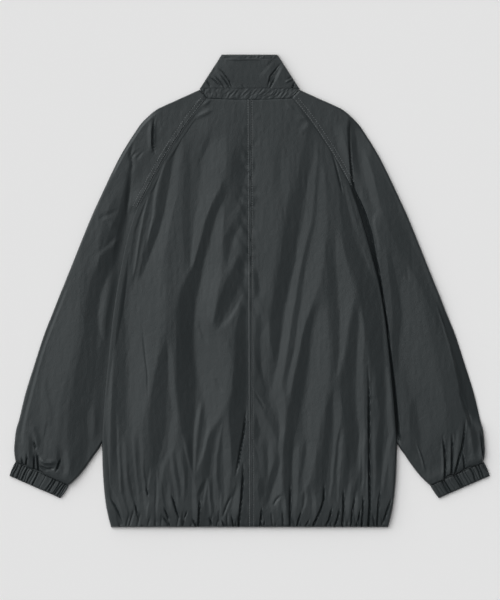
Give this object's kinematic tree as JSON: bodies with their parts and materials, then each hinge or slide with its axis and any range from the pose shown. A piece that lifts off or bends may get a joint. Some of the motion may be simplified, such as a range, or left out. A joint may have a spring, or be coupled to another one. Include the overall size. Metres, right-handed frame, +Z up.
{
  "type": "padded jacket",
  "caption": "Padded jacket with raglan sleeves, stand collar, gathered cuffs and hem, laid flat with its back up.",
  "frame": {"origin": "middle of the laid jacket's outline, on the surface it lies on", "axes": "+Z up through the jacket's back, +Y towards the collar, +X towards its right sleeve"},
  "size_m": [0.8312, 0.8149, 0.0164],
  "materials": {
    "shell": "satin grey-green nylon over thin wadding",
    "elastic_casing": "satin nylon gathered on elastic",
    "zip_tape": "woven zip tape",
    "zip_metal": "dark painted slider"
  },
  "bodies": {
    "root": {"back_left": "shell", "back_right": "shell", "front_left": "shell", "front_right": "shell", "sleeve_back_left": "shell", "sleeve_back_right": "shell", "sleeve_front_left": "shell", "sleeve_front_right": "shell", "collar_back": "shell", "collar_front_left": "shell", "collar_front_right": "shell", "casing_back": "elastic_casing", "casing_front_left": "elastic_casing", "casing_front_right": "elastic_casing", "cuff_back_left": "elastic_casing", "cuff_back_right": "elastic_casing", "cuff_front_left": "elastic_casing", "cuff_front_right": "elastic_casing", "front_zip": "zip_tape", "zip_slider": "zip_metal"}
  },
  "joints": []
}
